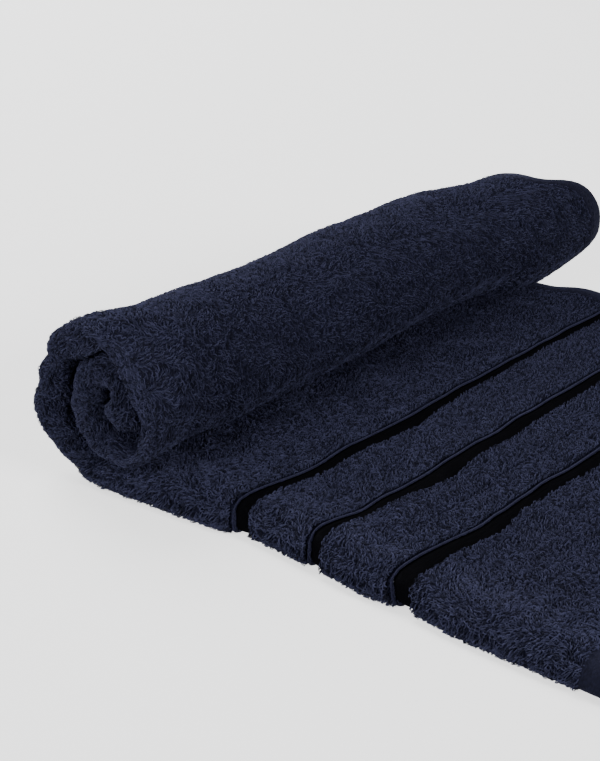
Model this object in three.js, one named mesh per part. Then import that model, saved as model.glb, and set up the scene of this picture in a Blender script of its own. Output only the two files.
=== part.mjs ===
// A terry bath towel with three satin bands at each end. It is folded double across its length, then
// double across its width, and rolled up from the folded end. The loose end lies flat in front of the roll.
//
// Two leaves of cloth lie one inside the other. Each is a hairpin in section: two plies joined by the fold
// at the near side (low X). The outer leaf goes round the inner one, and the two meet at the crosswise fold
// in the middle of the roll. +Y runs from the loose end to the roll, and +Z is up. All sizes are millimetres.
import * as THREE from "three";

// The towel as cut.
const TOWEL_WIDTH = 700;
const TOWEL_LENGTH = 1250;

// The folded stack of four plies.
const STACK = 15;
const GAP = 0.3;
const FOLD_STEPS = 6;

// Places along Y, measured from the crease where the roll meets the cloth in front of it.
const LOOSE_END = -290;
const HEM_DEPTH = 15;
const HEADER_DEPTH = 13;
const BAND_CENTRES = [-55, -104, -156];
const BAND_WIDTH = 9;
const RIM_WIDTH = 3;
const ROLL_AXIS_Y = 30;

// The roll, a spiral that starts under its axis and winds inwards.
const FIRST_RADIUS = 40.9;
const PITCH = 15.8;
const STEPS_PER_TURN = 24;
const SHORTEST_STEP = 0.08;
const ROLL_AXIS_Z = STACK / 2 + FIRST_RADIUS;

// The crosswise fold: a nose that thins along an ellipse, cut off before the ellipse closes.
const NOSE_LENGTH = 12;
const NOSE_STEPS = 4;
const NOSE_CUT = 0.89;

// How far the rolled cloth puffs out past the flat cloth's sides, slips sideways in each turn, and flares
// at the far side where the first turn comes down the front.
const FLAT_HALF_WIDTH = TOWEL_WIDTH / 4 + 2;
const PUFF = 9;
const SLIP_PER_TURN = 5;
const FRONT_FLARE = 18;

// Half the thickness of each folded leaf, and the thickness of its ply, in each kind of weave.
const OUTER_LEAF = {
  name: "outer",
  sideInset: 0,
  pile: { half: 7.5, ply: 3.5 },
  rim: { half: 6.9, ply: 1.8 },
  band: { half: 6.3, ply: 1.3 },
  header: { half: 6.4, ply: 1.3 },
  hem: { half: 6.6, ply: 2.4 },
};
const INNER_LEAF = {
  name: "inner",
  sideInset: 2,
  pile: { half: 3.7, ply: 3.4 },
  rim: { half: 4.8, ply: 1.8 },
  band: { half: 4.7, ply: 1.3 },
  header: { half: 4.8, ply: 1.3 },
  hem: { half: 3.0, ply: 2.3 },
};
const JOINED_LEAVES = { half: 7.5, ply: 7.2 };

const THREAD = 0.6;
const STITCH_INSET = 2.5;
const STITCH_LINE = LOOSE_END + HEM_DEPTH - STITCH_INSET;

const MATERIALS = {
  pile: new THREE.MeshStandardMaterial({ color: 0x262b43, roughness: 0.95, metalness: 0 }),
  rim: new THREE.MeshStandardMaterial({ color: 0x30354f, roughness: 0.8, metalness: 0 }),
  band: new THREE.MeshStandardMaterial({ color: 0x08080b, roughness: 0.35, metalness: 0 }),
  header: new THREE.MeshStandardMaterial({ color: 0x2c314b, roughness: 0.85, metalness: 0 }),
  hem: new THREE.MeshStandardMaterial({ color: 0x2a2f48, roughness: 0.85, metalness: 0 }),
  thread: new THREE.MeshStandardMaterial({ color: 0x23283c, roughness: 0.6, metalness: 0 }),
};

const FULL_TURN = 2 * Math.PI;
const STEP_ANGLE = FULL_TURN / STEPS_PER_TURN;
const GAP_ANGLE = GAP / (FIRST_RADIUS - PITCH);

// A point along the flat cloth: the middle of the stack, and the way its upper face looks.
function flatStation(y) {
  return { y, z: STACK / 2, up: [0, 1], near: -FLAT_HALF_WIDTH, far: FLAT_HALF_WIDTH };
}

// A point along the roll, at an angle wound on from the bottom of its first turn.
function rolledStation(angle) {
  const radius = FIRST_RADIUS - (PITCH * angle) / FULL_TURN;
  const puff = PUFF * THREE.MathUtils.smoothstep(angle, 0, Math.PI / 2);
  const slip = SLIP_PER_TURN * Math.max(0, angle / FULL_TURN - 1);
  const fromFront = Math.min(Math.abs(angle - 1.5 * Math.PI) / (Math.PI / 2), 1);
  const flare = FRONT_FLARE * THREE.MathUtils.smoothstep(1 - fromFront, 0, 1);
  return {
    y: ROLL_AXIS_Y + radius * Math.sin(angle),
    z: ROLL_AXIS_Z - radius * Math.cos(angle),
    up: [-Math.sin(angle), Math.cos(angle)],
    near: -FLAT_HALF_WIDTH - puff + slip,
    far: FLAT_HALF_WIDTH + puff + slip + flare,
  };
}

// The angle at which a length of cloth is used up, wound from the bottom of the first turn.
function angleAfter(length) {
  const radius = Math.sqrt(FIRST_RADIUS ** 2 - (PITCH * length) / Math.PI);
  return ((FIRST_RADIUS - radius) * FULL_TURN) / PITCH;
}

// The stations from one angle to another, with those between them on the same steps in every turn.
function rolledStations(from, to) {
  const firstStep = Math.floor(from / STEP_ANGLE + SHORTEST_STEP) + 1;
  const lastStep = Math.ceil(to / STEP_ANGLE - SHORTEST_STEP) - 1;
  const angles = [from];
  for (let step = firstStep; step <= lastStep; step += 1) {
    angles.push(step * STEP_ANGLE);
  }
  angles.push(to);
  return angles.map(rolledStation);
}

// One side of a hairpin section: from the upper far edge, round the fold, to the lower far edge.
function hairpinSide(station, half) {
  const bend = station.near + STACK / 2;
  const points = [[station.far, half]];
  for (let step = 0; step <= FOLD_STEPS; step += 1) {
    const turn = Math.PI / 2 + (Math.PI * step) / FOLD_STEPS;
    points.push([bend + half * Math.cos(turn), half * Math.sin(turn)]);
  }
  points.push([station.far, -half]);
  return points.map(([x, height]) => [
    x,
    station.y + height * station.up[0],
    station.z + height * station.up[1],
  ]);
}

// A strip of folded cloth: a hairpin section carried through its stations, closed at both ends.
function foldedStrip(stations, weave, sideInset) {
  const positions = [];
  const indices = [];
  const quad = (a, b, c, d) => indices.push(a, c, b, a, d, c);
  for (const station of stations) {
    const inset = { ...station, far: station.far - sideInset };
    const thin = station.thin ?? 1;
    const outside = hairpinSide(inset, weave.half * thin);
    const inside = hairpinSide(inset, (weave.half - weave.ply) * thin);
    positions.push(...outside.flat(), ...inside.reverse().flat());
  }
  const sidePoints = FOLD_STEPS + 3;
  const ring = 2 * sidePoints;
  for (let s = 0; s < stations.length - 1; s += 1) {
    for (let k = 0; k < ring; k += 1) {
      const next = (k + 1) % ring;
      quad(s * ring + k, s * ring + next, (s + 1) * ring + next, (s + 1) * ring + k);
    }
  }
  const last = (stations.length - 1) * ring;
  for (let k = 0; k < sidePoints - 1; k += 1) {
    const across = ring - 1 - k;
    quad(k, across, across - 1, k + 1);
    quad(last + k, last + k + 1, last + across - 1, last + across);
  }
  const geometry = new THREE.BufferGeometry();
  geometry.setAttribute("position", new THREE.Float32BufferAttribute(positions, 3));
  geometry.setIndex(indices);
  geometry.computeVertexNormals();
  return geometry;
}

// The sewing thread of a hem, lying round the outside of its plies.
function seamThread(leaf) {
  const stations = [flatStation(STITCH_LINE - THREAD / 2), flatStation(STITCH_LINE + THREAD / 2)];
  return foldedStrip(stations, { half: leaf.hem.half + GAP + THREAD, ply: THREAD }, leaf.sideInset + 1);
}

// The weaves along the flat cloth, in order from the loose end: name, kind and where each one ends.
function flatZones() {
  const zones = [
    { name: "end_hem", kind: "hem", end: LOOSE_END + HEM_DEPTH },
    { name: "end_header", kind: "header", end: LOOSE_END + HEM_DEPTH + HEADER_DEPTH },
  ];
  for (let number = BAND_CENTRES.length; number >= 1; number -= 1) {
    const centre = BAND_CENTRES[number - 1];
    const bandEnd = centre + BAND_WIDTH / 2;
    zones.push({ name: `pile_panel_${number}`, kind: "pile", end: centre - BAND_WIDTH / 2 });
    zones.push({ name: `satin_band_${number}`, kind: "band", end: bandEnd });
    zones.push({ name: `band_rim_${number}`, kind: "rim", end: bandEnd + RIM_WIDTH });
  }
  zones.push({ name: "pile_under_roll", kind: "pile", end: ROLL_AXIS_Y });
  return zones;
}

function strip(name, kind, geometry) {
  const mesh = new THREE.Mesh(geometry, MATERIALS[kind]);
  mesh.name = name;
  return mesh;
}

function flatCloth(leaf) {
  const group = new THREE.Group();
  let start = LOOSE_END - GAP / 2;
  for (const zone of flatZones()) {
    const stations = [flatStation(start + GAP / 2), flatStation(zone.end - GAP / 2)];
    const geometry = foldedStrip(stations, leaf[zone.kind], leaf.sideInset);
    group.add(strip(`${leaf.name}_${zone.name}`, zone.kind, geometry));
    start = zone.end;
  }
  group.add(strip(`${leaf.name}_hem_stitching`, "thread", seamThread(leaf)));
  return group;
}

// The angle at which the nose of the crosswise fold starts.
function noseAngle() {
  return angleAfter(TOWEL_LENGTH / 2 - (ROLL_AXIS_Y - LOOSE_END) - NOSE_LENGTH);
}

function rolledCloth(leaf) {
  const group = new THREE.Group();
  const firstTurn = rolledStations(GAP_ANGLE / 2, FULL_TURN - GAP_ANGLE / 2);
  const secondTurn = rolledStations(FULL_TURN + GAP_ANGLE / 2, noseAngle() - GAP_ANGLE / 2);
  const first = foldedStrip(firstTurn, leaf.pile, leaf.sideInset);
  const second = foldedStrip(secondTurn, leaf.pile, leaf.sideInset);
  group.add(strip(`${leaf.name}_rolled_first_turn`, "pile", first));
  group.add(strip(`${leaf.name}_rolled_second_turn`, "pile", second));
  return group;
}

// The fold across the towel's middle, where the outer leaf turns back as the inner one.
function crosswiseFold() {
  const start = noseAngle() + GAP_ANGLE / 2;
  const end = angleAfter(TOWEL_LENGTH / 2 - (ROLL_AXIS_Y - LOOSE_END));
  const stations = [];
  for (let step = 0; step <= NOSE_STEPS; step += 1) {
    const share = step / NOSE_STEPS;
    const thin = Math.sqrt(1 - (NOSE_CUT * share) ** 2);
    stations.push({ ...rolledStation(THREE.MathUtils.lerp(start, end, share)), thin });
  }
  return strip("crosswise_fold", "pile", foldedStrip(stations, JOINED_LEAVES, 0));
}

// The group's origin is under the middle of the whole towel.
function bathTowel() {
  const group = new THREE.Group();
  for (const leaf of [OUTER_LEAF, INNER_LEAF]) {
    group.add(flatCloth(leaf), rolledCloth(leaf));
  }
  group.add(crosswiseFold());
  const box = new THREE.Box3().setFromObject(group);
  const middle = box.getCenter(new THREE.Vector3());
  group.position.set(-middle.x, -middle.y, -box.min.z);
  return group;
}

export default bathTowel();
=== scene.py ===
import math

import bpy
import numpy as np
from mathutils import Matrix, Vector


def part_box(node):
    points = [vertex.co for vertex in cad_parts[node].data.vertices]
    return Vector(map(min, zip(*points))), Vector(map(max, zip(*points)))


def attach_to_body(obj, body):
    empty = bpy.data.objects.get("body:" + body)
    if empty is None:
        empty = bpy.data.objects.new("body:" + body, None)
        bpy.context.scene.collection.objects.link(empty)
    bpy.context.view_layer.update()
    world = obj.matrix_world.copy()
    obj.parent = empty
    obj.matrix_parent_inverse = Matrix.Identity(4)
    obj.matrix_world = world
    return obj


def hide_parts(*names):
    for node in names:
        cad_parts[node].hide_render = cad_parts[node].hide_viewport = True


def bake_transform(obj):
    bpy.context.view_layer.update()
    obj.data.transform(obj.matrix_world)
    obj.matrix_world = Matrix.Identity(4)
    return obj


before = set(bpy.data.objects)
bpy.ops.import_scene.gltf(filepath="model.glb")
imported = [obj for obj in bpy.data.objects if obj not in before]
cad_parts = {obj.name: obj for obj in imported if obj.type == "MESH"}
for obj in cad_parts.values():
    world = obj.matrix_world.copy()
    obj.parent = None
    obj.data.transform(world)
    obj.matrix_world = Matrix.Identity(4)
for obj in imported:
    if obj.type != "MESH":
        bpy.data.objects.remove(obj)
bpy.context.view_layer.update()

MM = 0.001


def span(node, axis):
    """The lowest and highest place of a CAD node along an axis, in millimetres."""
    low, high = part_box(node)
    return low[axis] / MM, high[axis] / MM


# ---------------------------------------------------------------- sizes, in millimetres
X, Y, Z = range(3)

# The CAD's own sizes, which the frame doesn't hold: how far the roll's axis is behind the crease, how far
# each turn lies inside the one before it, half of the towel's length, and the nose of its crosswise fold.
AXIS_ALONG = 30.0
PITCH = 15.8
FOLDED_LENGTH = 625.0
NOSE = 12.0

# The flat stack and the roll, from the frame.
NEAR_EDGE, FAR_EDGE = span("outer_pile_panel_1", X)
MIDDLE_X = (NEAR_EDGE + FAR_EDGE) / 2
FLAT_HALF_WIDTH = (FAR_EDGE - NEAR_EDGE) / 2
STACK = span("outer_pile_panel_1", Z)[1]
HALF = STACK / 2
ROLL_TOP = span("outer_rolled_first_turn", Z)[1]
FIRST_RADIUS = (ROLL_TOP - STACK + PITCH / 2) / 2
AXIS_HEIGHT = HALF + FIRST_RADIUS

# Places along the cloth, from the frame. A band has a front edge and a back edge, with its rim behind it.
CREASE_Y = span("outer_pile_under_roll", Y)[1] - AXIS_ALONG
LOOSE_END = span("outer_end_hem", Y)[0] - CREASE_Y
HEM_TOP = span("outer_end_header", Y)[0] - CREASE_Y
HEADER_TOP = span("outer_pile_panel_3", Y)[0] - CREASE_Y
BANDS = [tuple(y - CREASE_Y for y in span(f"outer_satin_band_{n}", Y)) for n in (1, 2, 3)]
BAND_MIDDLES = [(low + high) / 2 for low, high in BANDS]
RIM_TOPS = [span(f"outer_band_rim_{n}", Y)[1] - CREASE_Y for n in (1, 2, 3)]
ROLL_END = LOOSE_END + FOLDED_LENGTH

# The outer leaf's ply and the depth of its pile, then half of the inner leaf's thickness, the depths of its
# ply's two faces, and how far its edge lies inside the outer one. Nothing is nearer the floor than LIFT_OFF.
PLY = 2.0
PILE_DEPTH = 1.5
INNER_HALF = 3.7
INNER_DEPTH = 0.1
INNER_PLY = 3.3
INNER_INSET = 2.5
LIFT_OFF = 0.05

# The lengthwise fold: its length round each side, how far it reaches across the towel where the cloth is flat
# and rolled, how square its curve is, and how far its faces flare out.
FOLD_ARC = 17.0
FLAT_FOLD = 14.0
ROLLED_FOLD = 10.0
ROUND_FOLD = 2
BOXY_FOLD = 4.0
FOLD_FLARE = 3.5
STRAIGHT = 2 * FLAT_HALF_WIDTH - FLAT_FOLD
SIDE_EDGE = FOLD_ARC + STRAIGHT
SIDE_HEM = 10.0
FULL_TURN = 2 * math.pi


# ---------------------------------------------------------------- small tools
def smoothstep(value, start, end):
    t = np.clip((value - start) / (end - start), 0, 1)
    return t * t * (3 - 2 * t)


def bump(value, middle, reach):
    """1 at the middle, falling smoothly to 0 at the reach."""
    return 0.5 + 0.5 * np.cos(math.pi * np.clip((value - middle) / reach, -1, 1))


def curve_through(*points):
    """A smooth curve through (place, value) points, which never overshoots them."""
    x, y = (np.array(v, float) for v in zip(*points))
    slope = np.diff(y) / np.diff(x)
    tangent = np.zeros(len(x))
    inner = slope[:-1] * slope[1:] > 0
    tangent[1:-1][inner] = 2 * slope[:-1][inner] * slope[1:][inner] / (slope[:-1] + slope[1:])[inner]

    def at(place):
        place = np.clip(place, x[0], x[-1])
        k = np.clip(np.searchsorted(x, place) - 1, 0, len(x) - 2)
        width = x[k + 1] - x[k]
        t = (place - x[k]) / width
        a, b = (1 + 2 * t) * (1 - t) ** 2, t * t * (3 - 2 * t)
        lean = t * (1 - t) ** 2 * tangent[k] - t * t * (1 - t) * tangent[k + 1]
        return a * y[k] + b * y[k + 1] + width * lean

    return at


def ripples(seed, wavelength, count=14):
    """Smooth seeded noise over the plan of the cloth, about -1 to 1."""
    rng = np.random.default_rng(seed)
    heading = rng.uniform(0, FULL_TURN, count)
    wave = FULL_TURN / (wavelength * rng.uniform(0.65, 1.6, count))
    phase = rng.uniform(0, FULL_TURN, count)

    def at(along, across):
        total = np.zeros(np.broadcast(along, across).shape)
        for h, w, p in zip(heading, wave, phase):
            total += np.sin((along * math.cos(h) + across * math.sin(h)) * w + p)
        return total / math.sqrt(count)

    return at


# ---------------------------------------------------------------- how the towel lies
WOBBLE = ripples(3, 70)
LUMPS = ripples(5, 24)
TUFTS = ripples(7, 9)

# The roll is described at turned angles, in degrees: 0 under the axis, 90 at the back, 180 on top and 270 in
# front. The second turn runs on from 360. These curves say how far the faces of its two ends lie from the
# axis, and how far its two rims have slipped sideways.
near_end_outer = curve_through(
    (0, 48.4), (30, 48), (42, 48.5), (56, 51.5), (70, 53), (82, 50), (95, 46.5), (106, 45.5), (113, 43.5),
    (122, 45.5), (145, 46), (165, 46), (180, 43.5), (196, 37.5), (210, 34), (224, 32.5), (242, 33.5),
    (257, 37), (270, 39), (300, 38.5), (330, 36.5), (360, 34), (381, 31.7), (396, 29.8), (411, 29), (447, 26),
    (495, 25), (520, 26.5), (540, 26), (575, 25), (610, 28), (640, 30), (665, 30),
)
near_end_inner = curve_through(
    (0, 35), (21, 32.7), (36, 30.3), (51, 29.5), (87, 25.5), (100, 26.5), (112, 28.5), (120, 26), (135, 27),
    (150, 23.5), (165, 25), (180, 29), (190, 28), (224, 23.5), (242, 25), (257, 28), (270, 29.5), (315, 30),
    (360, 12), (405, 5), (450, 2), (495, 4), (540, 8), (575, 9), (605, 3), (640, 0), (665, 2),
)
near_rim = curve_through(
    (0, -5), (30, -10), (60, -13), (100, -12), (116, -10.5), (135, -13), (165, -11), (195, -7), (225, -8),
    (260, -10), (300, -9), (345, -8), (400, -9), (450, -8), (540, -7), (600, -9), (640, -12), (665, -9),
)
far_rim = curve_through(
    (0, 0), (90, -4), (120, -8), (145, -10), (165, -7), (180, -4), (193, -5), (207, -2), (217, 7), (224, 20),
    (234, 31), (247, 39), (265, 43), (285, 44), (296, 36), (306, 20), (317, 9), (360, 6), (540, 4),
)
far_end_outer = curve_through(
    (0, 48.4), (45, 46), (90, 41), (120, 34), (145, 31.5), (165, 33), (180, 34), (193, 36.5), (207, 38.7),
    (217, 39.7), (234, 40.8), (247, 40), (265, 40.5), (285, 41), (296, 42.5), (306, 43), (317, 43),
    (335, 43.5), (360, 42),
)

# How far the top and the front of the roll swell, at each place across the towel from its middle.
top_swell = curve_through(
    (-175, 4), (-146, 1.6), (-128, -1), (-90, -2.2), (-50, -4.2), (-25, -3.4), (10, -1.2), (50, -1.6),
    (100, -3.4), (130, -4.8), (185, -7.5),
)
front_swell = curve_through(
    (-175, 0), (-130, 1), (-80, 2.5), (-40, 2.5), (30, 0), (120, -2.0), (165, 1.5), (200, 3),
)

# How far the crease and the three bands have moved along the cloth, at each place across it, and how far
# the two side edges have moved sideways, at each place along it.
crease_shift = curve_through((-360, 0), (30, 0), (95, -3.5), (160, -3), (240, 0.5), (310, 2.5), (360, 0))
band_shifts = [
    curve_through(
        (-60, -7), (-8, -6), (14, 0.8), (30, -0.2), (47, -2.6), (70, -4.2), (86, -2.6), (98, -1.4),
        (115, -1.8), (160, -2.8), (200, -1.5), (240, -2.6), (262, -0.8), (300, -0.4), (340, 0),
    ),
    curve_through(
        (-60, -7), (-8, -6), (20, 1.8), (38, 0.2), (52, -1.2), (80, -1.5), (100, -3), (120, -1.8),
        (160, -1.9), (190, 0.6), (245, 1), (310, 0.8),
    ),
    curve_through(
        (-60, -11), (-12, -10), (8, -1.5), (20, -0.4), (40, -1.2), (61, -4.2), (75, -5), (90, -3.2),
        (115, -3), (130, -1.8), (160, -2.8), (260, -2.4),
    ),
]
near_edge_shift = curve_through(
    (-290, 0.5), (-219, 0), (-190, 0.5), (-169, 2.5), (-157, 3.5), (-136, 1.5), (-120, 3), (-104, 4.5),
    (-87, 6), (-70, 7.5), (-59, 7.5), (-49, 5), (-32, 2), (-7, -0.5), (20, -2.5), (37, -3), (60, -2),
)
far_edge_shift = curve_through((-290, 4), (-120, 6), (-29, 7), (-14, 1.7), (2, -2.5), (40, 0))


def turned(along):
    """The angle in radians that the cloth has turned through, at a distance along it."""
    length = np.maximum(along - AXIS_ALONG, 0)
    radius = np.sqrt(np.maximum(FIRST_RADIUS**2 - PITCH * length / math.pi, 1))
    return (FIRST_RADIUS - radius) * FULL_TURN / PITCH


def along_at(turn):
    """The distance along the cloth at which it has turned through an angle in radians."""
    radius = FIRST_RADIUS - PITCH * turn / FULL_TURN
    return AXIS_ALONG + (FIRST_RADIUS**2 - radius**2) * math.pi / PITCH


# The stretch along the cloth where its lines have moved. Underneath, beyond a certain place, the movements
# hardly change any more.
DRIFT_START, DRIFT_END = -230.0, 60.0
UNDERSIDE = -30
UNDERSIDE_SHARE = 0.05


def drift(along, across):
    """How far the loom's lines have moved along the cloth from where they would lie if it were smooth."""
    places = [DRIFT_START, *reversed(BAND_MIDDLES), 0.0, DRIFT_END]
    side = np.where(across < UNDERSIDE, UNDERSIDE - (across - UNDERSIDE) * UNDERSIDE_SHARE, across)
    shifts = [0 * side, *(shift(side) for shift in reversed(band_shifts)), crease_shift(side), 0 * side]
    total = np.zeros(np.broadcast(along, across).shape)
    for k in range(len(places) - 1):
        share = smoothstep(along, places[k], places[k + 1])
        inside = (along >= places[k]) & (along < places[k + 1])
        total = np.where(inside, shifts[k] + (shifts[k + 1] - shifts[k]) * share, total)
    return total


# Where the cloth stops being flat and where it is fully rolled, in turned degrees, and how far in from the
# fold its flare reaches.
FLAT_UNTIL, ROLLED_FROM = 40, 20
FLARE_REACH = 30

# The crease round the roll's near rim, beside the fold, and the thinning at the nose of the crosswise fold.
RIM_CREASE = 1.8
RIM_CREASE_PLACE, RIM_CREASE_REACH = -13, 5.5
RIM_CREASE_TURN, RIM_CREASE_TURNS = 250, 110
NOSE_THINNING = 0.98

# The swellings of the top and the front, and where the roll's two ends begin.
TOP_TURN, TOP_REACH = 180, 130
FRONT_TURN, FRONT_REACH = 300, 70
FAR_END_START, FAR_END_FULL = 105, 160
NEAR_END_FULL, NEAR_END_STOP = 4, 50

# The heights of the roll's small and broad lumps, and of those on the flat cloth's upper face, which is what
# lies higher than UPPER_FACE over the middle of the stack. The near end has finer lumps, or tufts.
LUMP_HEIGHT, WOBBLE_HEIGHT, FLAT_LUMP_HEIGHT = 0.4, 0.7, 0.35
UPPER_FACE = 2
END_TUFTS = 0.8
TUFT_FINENESS = 1.6

# How much thicker or thinner the flat stack gets, and where it is plumpest: just inside its near edge. The
# offset along the cloth makes this noise differ from the roll's.
PLUMP_WOBBLE, PLUMP_EDGE = 0.05, 0.10
PLUMP_PLACE, PLUMP_REACH = 10, 40
PLUMP_OFFSET = 300


def cloth(along, across, depth, half=HALF):
    """The point, in metres, of the cloth at a place on the plan, sunk by a depth below the pile's tips."""
    along, across, depth = np.broadcast_arrays(
        np.asarray(along, float), np.asarray(across, float), np.asarray(depth, float)
    )
    turn = turned(along)
    degrees = np.degrees(turn)
    flat = 1 - smoothstep(degrees, 0, FLAT_UNTIL)
    near = -FLAT_HALF_WIDTH + near_rim(degrees) + near_edge_shift(along) * flat
    far = FLAT_HALF_WIDTH + far_rim(degrees) + far_edge_shift(along) * flat

    fold = np.clip(across / FOLD_ARC, -1, 1) * math.pi / 2
    boxiness = np.where(across < 0, ROUND_FOLD + (BOXY_FOLD - ROUND_FOLD) * flat, ROUND_FOLD)
    fold_depth = ROLLED_FOLD + (FLAT_FOLD - ROLLED_FOLD) * flat
    creased = bump(across, RIM_CREASE_PLACE, RIM_CREASE_REACH)
    creased = creased * bump(degrees, RIM_CREASE_TURN, RIM_CREASE_TURNS)
    thickness = half - depth - RIM_CREASE * creased
    reach = thickness * np.cos(fold) ** (2 / boxiness) * fold_depth / HALF
    height = thickness * np.sign(fold) * np.abs(np.sin(fold)) ** (2 / boxiness)
    straight = np.maximum(np.abs(across) - FOLD_ARC, 0)
    flare = FOLD_FLARE * flat * height / HALF * (1 - smoothstep(straight, 0, FLARE_REACH))
    x = near + fold_depth + straight * (far - near - fold_depth) / STRAIGHT - reach + flare
    into_nose = np.clip(1 - (ROLL_END - along) / NOSE, 0, 1)
    height = height * np.sqrt(1 - NOSE_THINNING * into_nose**2)

    rolled = np.minimum(degrees / ROLLED_FROM, 1)
    first_turn = np.where(degrees > 360, 0, 1)
    lumps = LUMP_HEIGHT * LUMPS(along, across) + WOBBLE_HEIGHT * WOBBLE(along, across)
    swell = top_swell(x) * bump(degrees % 360, TOP_TURN, TOP_REACH)
    swell = swell + front_swell(x) * bump(degrees % 360, FRONT_TURN, FRONT_REACH)
    radius = FIRST_RADIUS - PITCH * turn / FULL_TURN
    radius = radius + swell * (1 + first_turn) / 2 + lumps * rolled * first_turn
    at_far_end = smoothstep(x, FAR_END_START, FAR_END_FULL) * rolled * first_turn
    radius = radius + (far_end_outer(degrees) - HALF - radius) * at_far_end
    at_end = (1 - smoothstep(x - near, NEAR_END_FULL, NEAR_END_STOP)) * rolled
    outer, inner = near_end_outer(degrees), near_end_inner(degrees)
    radius = radius + ((outer + inner) / 2 - radius) * at_end
    radial = radius - height * (1 + ((outer - inner) / STACK - 1) * at_end)
    radial = radial + END_TUFTS * LUMPS(TUFT_FINENESS * along, TUFT_FINENESS * across) * at_end

    plump = 1 + PLUMP_WOBBLE * WOBBLE(along + PLUMP_OFFSET, np.abs(across))
    plump = plump + PLUMP_EDGE * bump(x, near + PLUMP_PLACE, PLUMP_REACH)
    flat_z = (HALF + height) * plump + FLAT_LUMP_HEIGHT * LUMPS(along, across) * (height > UPPER_FACE)
    is_rolled = degrees > 0
    y = np.where(is_rolled, AXIS_ALONG + radial * np.sin(turn), along + drift(along, across))
    z = np.where(is_rolled, AXIS_HEIGHT - radial * np.cos(turn), flat_z)
    return np.stack([(x + MIDDLE_X) * MM, (y + CREASE_Y) * MM, np.maximum(z, LIFT_OFF) * MM], -1)


# ---------------------------------------------------------------- meshes
def new_mesh(name, points, face_groups, materials, uvs):
    """A mesh object from points and groups of faces: (corner indices, material number) for each group."""
    mesh = bpy.data.meshes.new(name)
    corners = np.concatenate([faces.ravel() for faces, _ in face_groups])
    sizes = np.concatenate([np.full(len(faces), faces.shape[1]) for faces, _ in face_groups])
    numbers = np.concatenate([np.full(len(faces), number) for faces, number in face_groups])
    mesh.vertices.add(len(points))
    mesh.vertices.foreach_set("co", points.astype(np.float32).ravel())
    mesh.loops.add(len(corners))
    mesh.loops.foreach_set("vertex_index", corners.astype(np.int32))
    mesh.polygons.add(len(sizes))
    mesh.polygons.foreach_set("loop_start", (np.cumsum(sizes) - sizes).astype(np.int32))
    mesh.polygons.foreach_set("material_index", numbers.astype(np.int32))
    mesh.polygons.foreach_set("use_smooth", np.full(len(sizes), True))
    mesh.uv_layers.new(name="OFBake").data.foreach_set("uv", uvs[corners].astype(np.float32).ravel())
    mesh.update(calc_edges=True)
    for material in materials:
        mesh.materials.append(material)
    obj = bpy.data.objects.new(name, mesh)
    bpy.context.scene.collection.objects.link(obj)
    return obj


COARSE = 4  # steps of a shell's outer face to each step of its inner face


def steps(start, end, size):
    """Evenly spaced places, with a count that the coarse inner grid divides."""
    count = max(COARSE, COARSE * round(abs(end - start) / size / COARSE))
    return np.linspace(start, end, count + 1)


def grid_faces(rows, columns, first=0):
    index = first + np.arange(rows * columns).reshape(rows, columns)
    return np.stack([index[:-1, :-1], index[1:, :-1], index[1:, 1:], index[:-1, 1:]], -1).reshape(-1, 4)


def edge_steps(low, high):
    """Places across a narrow strip, closer together at its edges."""
    return low + (high - low) * (0.5 - 0.5 * np.cos(np.linspace(0, math.pi, 2 * COARSE + 1)))


# A strip's edge stays just short of upright. On its UV map, a shell's outer face ends at OUTER_UV and
# its inner face starts at INNER_UV.
EDGE_ROUNDING = 0.999
OUTER_UV = 0.78
INNER_UV = 0.8


def rounded(place, low, high, drop):
    """How far a strip's face falls away from its middle, to round its edges."""
    share = np.clip((2 * place - low - high) / (high - low), -1, 1)
    return drop * (1 - np.sqrt(1 - EDGE_ROUNDING * share**4))


def shell(name, along, across, top, under, material, half=HALF):
    """A ply of cloth: a fine outer face, a coarse inner one under it, and edges joining the two.

    top and under are the two faces' depths, each a function of the place on the plan.
    """
    fine_along, fine_across = np.meshgrid(along, across, indexing="ij")
    coarse_along, coarse_across = fine_along[::COARSE, ::COARSE], fine_across[::COARSE, ::COARSE]
    outer = cloth(fine_along, fine_across, top(fine_along, fine_across), half).reshape(-1, 3)
    inner = cloth(coarse_along, coarse_across, under(coarse_along, coarse_across), half).reshape(-1, 3)
    rows, columns = coarse_along.shape
    big = np.arange(len(outer)).reshape(fine_along.shape)
    small = len(outer) + np.arange(len(inner)).reshape(rows, columns)

    def edge(fine, coarse):
        runs = np.stack([fine[k : len(fine) - COARSE + k : COARSE] for k in range(COARSE + 1)], -1)
        return np.concatenate([runs, coarse[1:, None], coarse[:-1, None]], 1)

    groups = [
        grid_faces(*fine_along.shape),
        grid_faces(rows, columns, len(outer))[:, ::-1],
        edge(big[0], small[0]),
        edge(big[-1][::-1], small[-1][::-1]),
        edge(big[::-1, 0], small[::-1, 0]),
        edge(big[:, -1], small[:, -1]),
    ]
    u = (fine_along - along[0]) / (along[-1] - along[0])
    v = (fine_across - across[0]) / (across[-1] - across[0])
    outer_uv = np.stack([u, v * OUTER_UV], -1).reshape(-1, 2)
    inner_v = INNER_UV + v[::COARSE, ::COARSE] * (1 - INNER_UV)
    inner_uv = np.stack([u[::COARSE, ::COARSE], inner_v], -1).reshape(-1, 2)
    uvs = np.concatenate([outer_uv, inner_uv])
    return new_mesh(name, np.concatenate([outer, inner]), [(group, 0) for group in groups], [material], uvs)


# ---------------------------------------------------------------- materials
def new_material(name, colour, roughness, **sockets):
    """A material with the principled shader, whose other inputs are given by name."""
    made = bpy.data.materials.new(name)
    made.use_nodes = True
    shader = made.node_tree.nodes["Principled BSDF"]
    shader.inputs["Base Color"].default_value = (*colour, 1)
    shader.inputs["Roughness"].default_value = roughness
    for socket, value in sockets.items():
        shader.inputs[socket.replace("_", " ")].default_value = value
    return made, made.node_tree, shader


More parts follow.
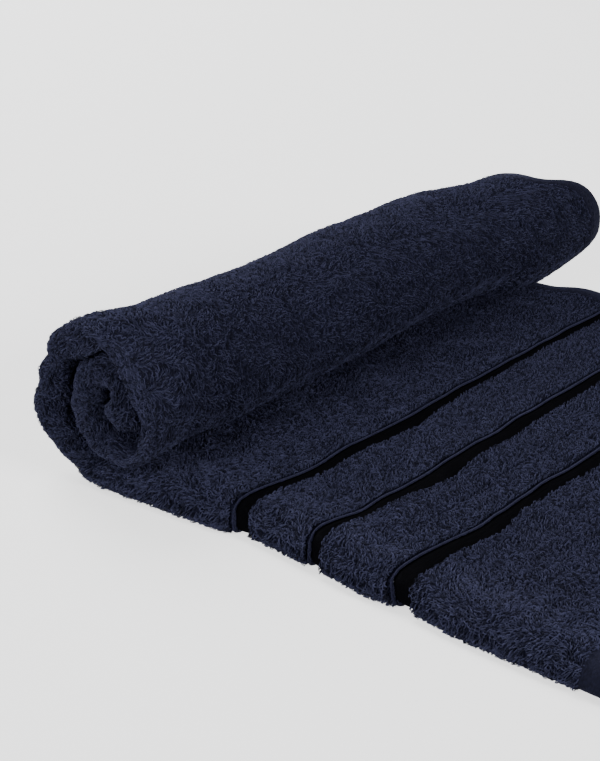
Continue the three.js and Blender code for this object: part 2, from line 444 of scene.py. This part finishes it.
def ramp_between(tree, source, dark, light, low=0.3, high=0.7):
    ramp = tree.nodes.new("ShaderNodeValToRGB")
    ramp.color_ramp.elements[0].position = low
    ramp.color_ramp.elements[0].color = (*dark, 1)
    ramp.color_ramp.elements[1].position = high
    ramp.color_ramp.elements[1].color = (*light, 1)
    tree.links.new(source, ramp.inputs["Fac"])
    return ramp.outputs["Color"]


def object_coordinates(tree, scale):
    place = tree.nodes.new("ShaderNodeTexCoord")
    mapping = tree.nodes.new("ShaderNodeMapping")
    mapping.inputs["Scale"].default_value = scale
    tree.links.new(place.outputs["Object"], mapping.inputs["Vector"])
    return mapping.outputs["Vector"]


def noise(tree, scale, detail, stretch=(1, 1, 1)):
    node = tree.nodes.new("ShaderNodeTexNoise")
    node.inputs["Scale"].default_value = scale
    node.inputs["Detail"].default_value = detail
    tree.links.new(object_coordinates(tree, stretch), node.inputs["Vector"])
    return node.outputs["Fac"]


def bump_from(tree, shader, source, distance):
    node = tree.nodes.new("ShaderNodeBump")
    node.inputs["Distance"].default_value = distance
    tree.links.new(source, node.inputs["Height"])
    tree.links.new(node.outputs["Normal"], shader.inputs["Normal"])


# NAVY_DARK is painted shade where it colours the pile's ground, for the deep gaps between the loops.
NAVY_DARK = (0.0022, 0.0023, 0.0056)
NAVY = (0.0165, 0.0175, 0.0375)
NAVY_LIGHT = (0.0280, 0.0295, 0.0610)
SATIN_DARK = (0.0007, 0.0007, 0.0011)
SATIN_LIGHT = (0.0018, 0.0018, 0.0029)
HEM_DARK = (0.0030, 0.0031, 0.0080)
HEM_LIGHT = (0.0080, 0.0084, 0.0205)
RIM_DARK = (0.0050, 0.0052, 0.0130)
RIM_LIGHT = (0.0140, 0.0144, 0.0360)
SHEEN_TINT = (0.5, 0.53, 1.0, 1)

# How much lighter a yarn's light patches are than its own colour.
YARN_TINT = 1.3
DARK_YARN_TINT = 2.4


def pile_ground():
    """The woven ground between the loops, its dark colour painted shade for the deep gaps, with the roots of
    the loops as fine bumps.
    """
    made, tree, shader = new_material("pile_ground", NAVY_DARK, 0.95, IOR=1.12)
    weave = noise(tree, scale=900, detail=3)
    tree.links.new(ramp_between(tree, weave, NAVY_DARK, NAVY), shader.inputs["Base Color"])
    bump_from(tree, shader, noise(tree, scale=700, detail=2), distance=0.0008)
    return made


def pile_yarn(name, colour, tint):
    """Cotton yarn, with a soft sheen from its loose fibres."""
    made, tree, shader = new_material(
        name, colour, 0.85, Sheen_Weight=0.12, Sheen_Roughness=0.5, Sheen_Tint=SHEEN_TINT,
        Specular_IOR_Level=0.1,
    )
    light = tuple(c * tint for c in colour)
    patches = ramp_between(tree, noise(tree, scale=240, detail=2), colour, light, low=0.35, high=0.65)
    tree.links.new(patches, shader.inputs["Base Color"])
    return made


def satin():
    """Black satin, with its weave drawn out across the band."""
    made, tree, shader = new_material("satin", SATIN_DARK, 0.7, IOR=1.06)
    weave = noise(tree, scale=420, detail=2, stretch=(0.35, 4, 1))
    tree.links.new(ramp_between(tree, weave, SATIN_DARK, SATIN_LIGHT), shader.inputs["Base Color"])
    bump_from(tree, shader, weave, distance=0.0002)
    return made


def woven(name, dark, light, stretch):
    """Flat-woven cotton, with its weave drawn out by a stretch along each axis."""
    made, tree, shader = new_material(
        name, light, 0.9, Sheen_Weight=0.08, Sheen_Roughness=0.5, Sheen_Tint=SHEEN_TINT,
        Specular_IOR_Level=0.1,
    )
    weave = noise(tree, scale=650, detail=2, stretch=stretch)
    tree.links.new(ramp_between(tree, weave, dark, light), shader.inputs["Base Color"])
    bump_from(tree, shader, weave, distance=0.0004)
    return made


GROUND = pile_ground()
# The dark and light yarns are partly a random spread of tone and partly painted shade and painted light,
# picked by the clumps in loops().
YARNS = [
    pile_yarn("pile_yarn_dark", NAVY_DARK, DARK_YARN_TINT),
    pile_yarn("pile_yarn_mid", NAVY, YARN_TINT),
    pile_yarn("pile_yarn_light", NAVY_LIGHT, YARN_TINT),
]
SATIN = satin()
RIM = woven("rim_rib", RIM_DARK, RIM_LIGHT, (3, 0.6, 1))
HEM = woven("hem_weave", HEM_DARK, HEM_LIGHT, (1, 1, 1))
HEADER = woven("header_weave", HEM_DARK, HEM_LIGHT, (1, 2, 1))
THREAD = woven("thread_twist", HEM_DARK, NAVY, (1, 1, 1))


# ---------------------------------------------------------------- yarn
def unit(vectors):
    return vectors / (np.linalg.norm(vectors, axis=-1, keepdims=True) + 1e-12)


def tubes(name, along, across, depth, thick, tones, yarns, half=HALF):
    """Thin three-sided tubes, one through each row of places on the plan, each in the yarn of its tone."""
    centre = cloth(along, across, depth, half)
    normal = unit(cloth(along, across, depth - 1, half) - centre)
    tangent = unit(np.gradient(centre, axis=1))
    sideways = unit(np.cross(tangent, normal))
    outward = np.cross(sideways, tangent)
    around = np.radians([90, 210, 330])[:, None]
    spokes = outward[:, :, None] * np.sin(around) + sideways[:, :, None] * np.cos(around)
    ring = centre[:, :, None] + (thick * MM)[:, None, None, None] * spokes
    ring[..., Z] = np.maximum(ring[..., Z], LIFT_OFF * MM)

    count, places = along.shape
    base = np.arange(count)[:, None, None] * (3 * places)
    step = np.arange(places - 1)[None, :, None] * 3
    corner = np.arange(3)[None, None, :]
    after = (corner + 1) % 3
    quads = [base + step + corner, base + step + after, base + step + 3 + after, base + step + 3 + corner]
    faces = np.stack(quads, -1)
    groups = [(faces[tones == tone].reshape(-1, 4), tone) for tone in range(len(yarns))]
    u, v = ((rows - rows.min()) / max(np.ptp(rows), 1) for rows in (along, across))
    uvs = np.stack([np.repeat(u, 3), np.repeat(v, 3)], -1)
    return new_mesh(name, ring.reshape(-1, 3), groups, yarns, uvs)


# How far apart the loops are, how much longer the widely spaced ones are, and where they stop before a hem.
LOOP_SPACING = 1.2
NOSE_SPACING = 1.1
COARSE_SPACING = 1.9
COARSE_LENGTH = 1.3
LOOPS_IN_A_PIECE = 10500
HEM_GAP = 0.5

# A loop's four points, as shares of its reach, of its height and of its sideways bend. Then the ranges in
# which its reach, height, bend and thickness vary, how much a clump lifts it, and how deep it is rooted.
LOOP_SHARES = np.array([0, 0.3, 0.7, 1])
LOOP_LIFTS = np.array([-0.4, 0.85, 0.95, -0.4])
LOOP_BEND = np.array([0, 1, -0.6, 0])
LOOP_REACH = (1.4, 2.7)
LOOP_HEIGHT = (0.5, 1.2)
LOOP_BEND_LIMIT = 0.45
LOOP_THICKNESS = (0.21, 0.31)
CLUMP_LIFT = 0.35
ROOT_DEPTH = 0.1

# Loops are longer by a share beside the fold, until these two distances from its nose, and shorter by the
# same share towards the open side.
LENGTH_SHARE = 0.25
LONG_LOOPS = (20, 70)
SHORT_LOOPS = (90, SIDE_EDGE)

# Which way the loops lie, in radians: a steady heading, two kinds of slow change, and a spread. Near a band
# they turn, and within the first of these two distances from the pile's edge they lie along that edge.
HEADING = 0.6
COMBING_SWING = 1.9
SWIRL_SWING = 1.1
HEADING_SPREAD = 0.3
BAND_SIDE = (0.5, 3.5)

# Which of the three yarns a loop has: a middle tone, lighter on the clumps as painted light and darker in
# the hollows between them as painted shade, and a random spread.
TONE = 0.9
PAINTED_CLUMP_SHADING = 0.6
TONE_SPREAD = 0.8

# How far the pile hangs over the front edge of each band, at each place across the cloth.
BAND_WANDER = [
    curve_through(
        (-60, 0), (10, 0.8), (30, 1.4), (85, 1.2), (98, 0.6), (114, -1.4), (140, -0.8), (165, 1.6),
        (230, 2.6), (360, 3),
    ),
    curve_through(
        (-60, 0), (10, 1.4), (38, 2.8), (77, 1.8), (90, -0.8), (106, -3.2), (131, -0.8), (170, -1),
        (220, 0.6), (360, 2),
    ),
    curve_through(
        (-60, -1), (10, -2.4), (23, -3), (50, -1), (61, -0.8), (75, -2.4), (88, -0.6), (101, 2.2),
        (120, 1), (160, 0), (360, 2),
    ),
]
combing = ripples(11, 60)
swirls = ripples(13, 24)
clumps = ripples(17, 2.8, 30)


def past_pile_edge(along, across):
    """How far each place lies past the edge of the pile, towards the nearest band: negative on the pile."""
    past = np.full(np.broadcast(along, across).shape, -FOLDED_LENGTH)
    for (low, _), top, wander in zip(BANDS, RIM_TOPS, BAND_WANDER):
        past = np.maximum(past, np.minimum(along - low - wander(across), top - along))
    return past


def loops(name, start, end, low, high, spacing, seed, length):
    """A field of terry loops: each is a bent tube of yarn with both ends in the ground."""
    rng = np.random.default_rng(seed)
    rows, columns = int((end - start) / spacing), int((high - low) / spacing)
    along, across = np.meshgrid(np.arange(rows) + 0.5, np.arange(columns) + 0.5, indexing="ij")
    along = start + spacing * (along + rng.uniform(-0.5, 0.5, along.shape)).ravel()
    across = low + spacing * (across + rng.uniform(-0.5, 0.5, across.shape)).ravel()
    kept = (past_pile_edge(along, across) < 0) & (np.abs(across) < SIDE_EDGE - SIDE_HEM - HEM_GAP)
    along, across = along[kept], across[kept]
    count = len(along)
    beside = 1 - smoothstep(-past_pile_edge(along, across), *BAND_SIDE)
    heading = HEADING + COMBING_SWING * combing(along, across) + SWIRL_SWING * swirls(along, across)
    heading = heading + rng.normal(0, HEADING_SPREAD, count)
    along_edge = np.round(heading / math.pi - 0.5) * math.pi + math.pi / 2
    heading = heading + (along_edge - heading) * beside
    shorter = smoothstep(np.abs(across), *LONG_LOOPS) + smoothstep(across, *SHORT_LOOPS)
    length = length * (1 + LENGTH_SHARE - LENGTH_SHARE * shorter)
    reach = rng.uniform(*LOOP_REACH, count) * length
    clump = clumps(along, across)
    tall = rng.uniform(*LOOP_HEIGHT, count) + CLUMP_LIFT * np.clip(clump, -1, 1)
    bend = rng.uniform(-LOOP_BEND_LIMIT, LOOP_BEND_LIMIT, count)
    travel = np.outer(reach, LOOP_SHARES - 0.5)
    sidestep = np.outer(bend, LOOP_BEND)
    facing = heading[:, None]
    along_steps = along[:, None] + travel * np.cos(facing) - sidestep * np.sin(facing)
    across_steps = across[:, None] + travel * np.sin(facing) + sidestep * np.cos(facing)
    depth = PILE_DEPTH + ROOT_DEPTH - np.outer(tall, LOOP_LIFTS)
    thick = rng.uniform(*LOOP_THICKNESS, count) * length
    # Painted light and shade: the clump noise moves loops on clumps to lighter yarn and loops in hollows to
    # darker yarn.
    tones = (TONE + PAINTED_CLUMP_SHADING * clump + rng.normal(0, TONE_SPREAD, count)).round()
    tones = np.clip(tones, 0, len(YARNS) - 1).astype(int)
    return tubes(name, along_steps, across_steps, depth, thick, tones, YARNS)


# The length of a stitch, the distance from one to the next, and how far in from a hem's edge its seam is.
STITCH = 2.4
STITCH_PITCH = 3.2
STITCH_INSET = 2.5
STITCH_SHARES = np.array([-0.5, -0.3, 0.3, 0.5])
STITCH_DEPTHS = [1.6, 0.55, 0.55, 1.6]
STITCH_THICKNESS = 0.26


def stitches(name, along, across, run, half):
    """A row of stitches: short threads that dive into the cloth at both ends. run is their heading."""
    along_steps = along[:, None] + STITCH * STITCH_SHARES * math.cos(run)
    across_steps = across[:, None] + STITCH * STITCH_SHARES * math.sin(run)
    depth = np.tile(STITCH_DEPTHS, (len(along), 1))
    thick = np.full(len(along), STITCH_THICKNESS)
    return tubes(name, along_steps, across_steps, depth, thick, np.zeros(len(along), int), [THREAD], half)


# ---------------------------------------------------------------- the towel's parts and their bodies
# Each length of cloth, or zone, holds one band and joins the two bodies to either side of it. The zones meet
# midway between the bands.
PANEL_MIDDLES = [(BAND_MIDDLES[0] + BAND_MIDDLES[1]) / 2, (BAND_MIDDLES[1] + BAND_MIDDLES[2]) / 2]
ZONES = {
    "roll": (PANEL_MIDDLES[0], ROLL_END - NOSE),
    "middle": (PANEL_MIDDLES[1], PANEL_MIDDLES[0]),
    "front": (HEADER_TOP, PANEL_MIDDLES[1]),
}
BODIES = {"roll": ("roll", "flap_1"), "middle": ("flap_1", "flap_2"), "front": ("flap_2", "flap_3")}

# Pieces that reach within this distance of a band's middle, to either side, are fixed to neither body.
BEND_REACH = 17.5

# The sheets of cloth by name, and the other pieces that go with each of them.
SHEETS = {}
PIECES_ON = {}


def attach(obj, zone, sheet=None):
    """Fix a piece to the body it lies on if it's clear of its zone's band, or else leave it unattached with
    its transform applied; list it with its sheet if one is given.
    """
    pivot = BAND_MIDDLES[list(ZONES).index(zone)] + CREASE_Y
    start, end = ((0, (pivot + offset) * MM, STACK * MM) for offset in (BEND_REACH, -BEND_REACH))
    points = np.empty(3 * len(obj.data.vertices), np.float32)
    obj.data.vertices.foreach_get("co", points)
    lowest, highest = points[Y::3].min(), points[Y::3].max()
    if lowest >= start[Y]:
        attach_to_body(obj, BODIES[zone][0])
    elif highest <= end[Y]:
        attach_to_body(obj, BODIES[zone][1])
    else:
        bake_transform(obj)
    if sheet is not None:
        PIECES_ON[sheet].append(obj)
    return obj


GROOVE_DEPTH = 1.6
GROOVE_SIDE = (-2, 0.2)
TUFT_HEIGHT = 0.25


def ground_depth(along, across):
    """The depth of the cloth that the loops stand in, which drops to a groove at each band."""
    groove = GROOVE_DEPTH * smoothstep(past_pile_edge(along, across), *GROOVE_SIDE)
    return PILE_DEPTH + groove + TUFT_HEIGHT * TUFTS(along, across)


def level(depth):
    return lambda along, across: np.full(along.shape, float(depth))


# How fine the strips' meshes are, how a side hem is rounded, how far it stands over and under the ground of
# the pile, how far the cloth runs in under it, and how far the seams stop short of the corners.
STRIP_GRID = 1.6
SIDE_HEM_GRID = 2.5
SIDE_HEM_DROP = 0.9
SIDE_HEM_RISE = 0.6
SIDE_HEM_UNDER = 2.2
UNDER_SIDE_HEM = 3
SIDE_SEAM_MARGIN = 2
END_SEAM_MARGIN = 4

# How far the header runs in under the hem and under the pile, and a band under the pile and under its rim.
HEADER_UNDER_HEM = 1
HEADER_UNDER_PILE = 1.5
BAND_UNDER_PILE = 4
BAND_UNDER_RIM = 0.4
RIM_WIDTH = 1.2


def strip_across(name, start, end, top, under, drop, material, half, edge):
    """A narrow strip right round the folded cloth, with rounded edges."""

    def upper(along, across):
        return top + rounded(along, start, end, drop)

    def lower(along, across):
        return under - rounded(along, start, end, drop)

    return shell(name, edge_steps(start, end), steps(-edge, edge, STRIP_GRID), upper, lower, material, half)


def side_hem(name, start, end, side, half, edge):
    """A narrow strip along an open side of the cloth, with rounded edges."""
    low, high = sorted((side * edge, side * (edge - SIDE_HEM)))

    def upper(along, across):
        return PILE_DEPTH - SIDE_HEM_RISE + rounded(across, low, high, SIDE_HEM_DROP)

    def lower(along, across):
        return PILE_DEPTH + SIDE_HEM_UNDER - rounded(across, low, high, SIDE_HEM_DROP)

    return shell(name, steps(start, end, SIDE_HEM_GRID), edge_steps(low, high), upper, lower, HEM, half)


def end_of_leaf(leaf, half, edge, inset):
    """The header and the hem across a leaf's loose end, with the hem's stitches."""
    sheet = f"{leaf}_front"
    header = strip_across(
        f"{leaf}_header", HEM_TOP - HEADER_UNDER_HEM, HEADER_TOP + HEADER_UNDER_PILE,
        top=1.1, under=2.5, drop=0.3, material=HEADER, half=half, edge=edge,
    )
    hem = strip_across(
        f"{leaf}_hem", LOOSE_END + inset, HEM_TOP,
        top=0.9, under=3.2, drop=1.0, material=HEM, half=half, edge=edge,
    )
    across = np.arange(-edge + END_SEAM_MARGIN, edge - END_SEAM_MARGIN, STITCH_PITCH)
    line = np.full(len(across), HEM_TOP - STITCH_INSET)
    row = stitches(f"{leaf}_hem_stitches", line, across, math.pi / 2, half)
    attach(header, "front", sheet)
    attach(hem, "front", sheet)
    attach(row, "front", sheet)
    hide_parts(f"{leaf}_end_header")
    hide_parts(f"{leaf}_end_hem")
    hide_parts(f"{leaf}_hem_stitching")


def band_and_rim(leaf, number, half, edge):
    """A satin band and the thin ribbed rim behind it."""
    low, high = BANDS[number - 1]
    zone = list(ZONES)[number - 1]
    band = strip_across(
        f"{leaf}_band_{number}", low - BAND_UNDER_PILE, high + BAND_UNDER_RIM,
        top=1.9, under=2.9, drop=0.9, material=SATIN, half=half, edge=edge,
    )
    rim = strip_across(
        f"{leaf}_rim_{number}", high, high + RIM_WIDTH,
        top=1.2, under=2.3, drop=1.1, material=RIM, half=half, edge=edge,
    )
    attach(band, zone, f"{leaf}_{zone}")
    attach(rim, zone, f"{leaf}_{zone}")
    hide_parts(f"{leaf}_satin_band_{number}")
    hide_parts(f"{leaf}_band_rim_{number}")


PILE_NODES = {
    "roll": ("pile_under_roll", "rolled_first_turn", "rolled_second_turn"),
    "middle": ("pile_panel_1",),
    "front": ("pile_panel_2", "pile_panel_3"),
}


def leaf_of_cloth(leaf, half, edge, top, under, grid):
    """The cloth of a leaf, zone by zone, with side hems along its open sides."""
    for zone, (start, end) in ZONES.items():
        sheet = f"{leaf}_{zone}"
        PIECES_ON[sheet] = []
        inner_edge = edge - SIDE_HEM + UNDER_SIDE_HEM
        across = steps(-inner_edge, inner_edge, grid)
        cloth_piece = shell(f"{sheet}_cloth", steps(start, end, grid), across, top, under, GROUND, half)
        SHEETS[sheet] = attach(cloth_piece, zone)
        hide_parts(*(f"{leaf}_{node}" for node in PILE_NODES[zone]))
        for side, name in ((1, "upper"), (-1, "lower")):
            hem = side_hem(f"{sheet}_{name}_side_hem", start, end, side, half, edge)
            attach(hem, zone, sheet)
            places = np.arange(start + SIDE_SEAM_MARGIN, end - SIDE_SEAM_MARGIN, STITCH_PITCH)
            line = np.full(len(places), side * (edge - SIDE_HEM + STITCH_INSET))
            row = stitches(f"{sheet}_{name}_side_stitches", places, line, 0, half)
            attach(row, zone, sheet)


def loop_field(name, zone, start, end, low, high, spacing, seed, sheet=None, length=1.0):
    """Loops over part of a zone, in as many pieces as keep each one light."""
    count = math.ceil((end - start) * (high - low) / spacing**2 / LOOPS_IN_A_PIECE)
    cuts = np.linspace(low, high, count + 1)
    for k in range(count):
        piece = loops(f"{name}_{k + 1}", start, end, cuts[k], cuts[k + 1], spacing, seed * 10 + k, length)
        attach(piece, zone, sheet or f"outer_{zone}")


OUTER_GRID = 2.2
NOSE_GRID = 1.5
INNER_GRID = 5
INNER_EDGE = SIDE_EDGE - INNER_INSET
INNER_STRIP_HALF = INNER_HALF + 1
leaf_of_cloth("outer", HALF, SIDE_EDGE, ground_depth, level(PILE_DEPTH + PLY), OUTER_GRID)
leaf_of_cloth("inner", INNER_HALF, INNER_EDGE, level(INNER_DEPTH), level(INNER_PLY), INNER_GRID)
for number in (1, 2, 3):
    band_and_rim("outer", number, HALF, SIDE_EDGE)
    band_and_rim("inner", number, INNER_STRIP_HALF, INNER_EDGE)
end_of_leaf("outer", HALF, SIDE_EDGE, inset=0)
end_of_leaf("inner", INNER_STRIP_HALF, INNER_EDGE, inset=1.5)

PIECES_ON["crosswise_fold"] = []
SHEETS["crosswise_fold"] = shell(
    "crosswise_fold_cloth", steps(ROLL_END - NOSE, ROLL_END, NOSE_GRID),
    steps(-SIDE_EDGE, SIDE_EDGE, OUTER_GRID), level(PILE_DEPTH), level(PILE_DEPTH + 2 * PLY), GROUND,
)
attach(SHEETS["crosswise_fold"], "roll")
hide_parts("crosswise_fold")

# Loops stand on the outer leaf's outward faces. Inside the roll they reach END_FACE in from its near end,
# since no more can be seen. From NOSE_FACE in from the fold, on the faces that rest on the surface, they are
# longer and wider apart. The cloth starts to turn up just after ROLL_START, and lifts off at OUTSIDE_START.
OUTSIDE_START = along_at(math.radians(15))
INNER_TURN = along_at(FULL_TURN)
END_FACE = 60.0
NOSE_FACE = 35.0
ROLL_START = 25
loop_field("roll_outside_loops", "roll", OUTSIDE_START, INNER_TURN, -SIDE_EDGE, 0, LOOP_SPACING, 21)
loop_field("roll_inside_loops", "roll", ROLL_START, INNER_TURN, 0, END_FACE, LOOP_SPACING, 22)
loop_field("second_turn_loops", "roll", INNER_TURN, ROLL_END - NOSE, -END_FACE, END_FACE, LOOP_SPACING, 23)
loop_field(
    "crosswise_fold_loops", "roll", ROLL_END - NOSE, ROLL_END, -END_FACE, END_FACE, NOSE_SPACING, 24,
    "crosswise_fold",
)
loop_field("under_roll_loops", "roll", PANEL_MIDDLES[0], ROLL_START, -NOSE_FACE, SIDE_EDGE, LOOP_SPACING, 25)
loop_field("back_fold_loops", "roll", ROLL_START, OUTSIDE_START, -NOSE_FACE, 0, LOOP_SPACING, 26)
loop_field(
    "roll_foot_loops", "roll", PANEL_MIDDLES[0], OUTSIDE_START, -SIDE_EDGE, -NOSE_FACE, COARSE_SPACING, 27,
    length=COARSE_LENGTH,
)
for number, zone in ((1, "middle"), (2, "front")):
    start, end = ZONES[zone]
    loop_field(f"{zone}_top_loops", zone, start, end, -NOSE_FACE, SIDE_EDGE, LOOP_SPACING, 30 + number)
    loop_field(
        f"{zone}_underside_loops", zone, start, end, -SIDE_EDGE, -NOSE_FACE, COARSE_SPACING, 40 + number,
        length=COARSE_LENGTH,
    )

for sheet, obj in SHEETS.items():
    zone = sheet.split("_", 1)[1]
    start, end = ZONES[zone] if zone in ZONES else (ROLL_END - NOSE, ROLL_END)


# ---------------------------------------------------------------- floor, light and camera
FLOOR_HALF = 6


def floor():
    mesh = bpy.data.meshes.new("floor")
    corners = [(FLOOR_HALF * a, FLOOR_HALF * b, 0) for a, b in ((-1, -1), (1, -1), (1, 1), (-1, 1))]
    mesh.from_pydata(corners, [], [(0, 1, 2, 3)])
    obj = bpy.data.objects.new("floor", mesh)
    bpy.context.scene.collection.objects.link(obj)
    made, _, shader = new_material("floor", (0.8, 0.8, 0.8), 0.9)
    shader.inputs["Emission Color"].default_value = (1, 1, 1, 1)
    shader.inputs["Emission Strength"].default_value = 1.2
    mesh.materials.append(made)
    obj.visible_diffuse = False


def surroundings():
    world = bpy.data.worlds.new("studio")
    world.use_nodes = True
    background = world.node_tree.nodes["Background"]
    background.inputs["Color"].default_value = (0.9, 0.93, 1, 1)
    background.inputs["Strength"].default_value = 0.2
    bpy.context.scene.world = world


def area_light(name, place, target, size, watts):
    data = bpy.data.lights.new(name, "AREA")
    data.shape = "DISK"
    data.size = size
    data.energy = watts
    obj = bpy.data.objects.new(name, data)
    bpy.context.scene.collection.objects.link(obj)
    obj.location = place
    obj.rotation_euler = (Vector(target) - Vector(place)).to_track_quat("-Z", "Y").to_euler()


# The camera: its lens, the way it looks, and its place from the middle of the crease.
LENS = 94.455
CAMERA_YAW = 49.1457
CAMERA_PITCH = 24.7751
CAMERA_X, CAMERA_Y, CAMERA_Z = -0.8108, -0.6480, 0.4862


def camera():
    data = bpy.data.cameras.new("camera")
    data.lens = LENS
    data.sensor_width = 36
    obj = bpy.data.objects.new("camera", data)
    bpy.context.scene.collection.objects.link(obj)
    yaw, pitch = math.radians(CAMERA_YAW), math.radians(CAMERA_PITCH)
    obj.location = (MIDDLE_X * MM + CAMERA_X, CREASE_Y * MM + CAMERA_Y, CAMERA_Z)
    forward = Vector((math.sin(yaw) * math.cos(pitch), math.cos(yaw) * math.cos(pitch), -math.sin(pitch)))
    obj.rotation_euler = forward.to_track_quat("-Z", "Y").to_euler()
    bpy.context.scene.camera = obj


floor()
surroundings()
area_light("softbox_behind", (0.6, 1.6, 1.6), target=(0, 0.1, 0), size=1.3, watts=42)
area_light("softbox_low_behind", (0.3, 2.1, 0.9), target=(0, 0.1, 0.05), size=1.0, watts=12)
area_light("softbox_left", (-3.2, 0.2, 1.5), target=(0, 0, 0.05), size=1.7, watts=118)
area_light("softbox_front", (0.3, -4.0, 1.9), target=(0, 0, 0.05), size=1.45, watts=180)
camera()
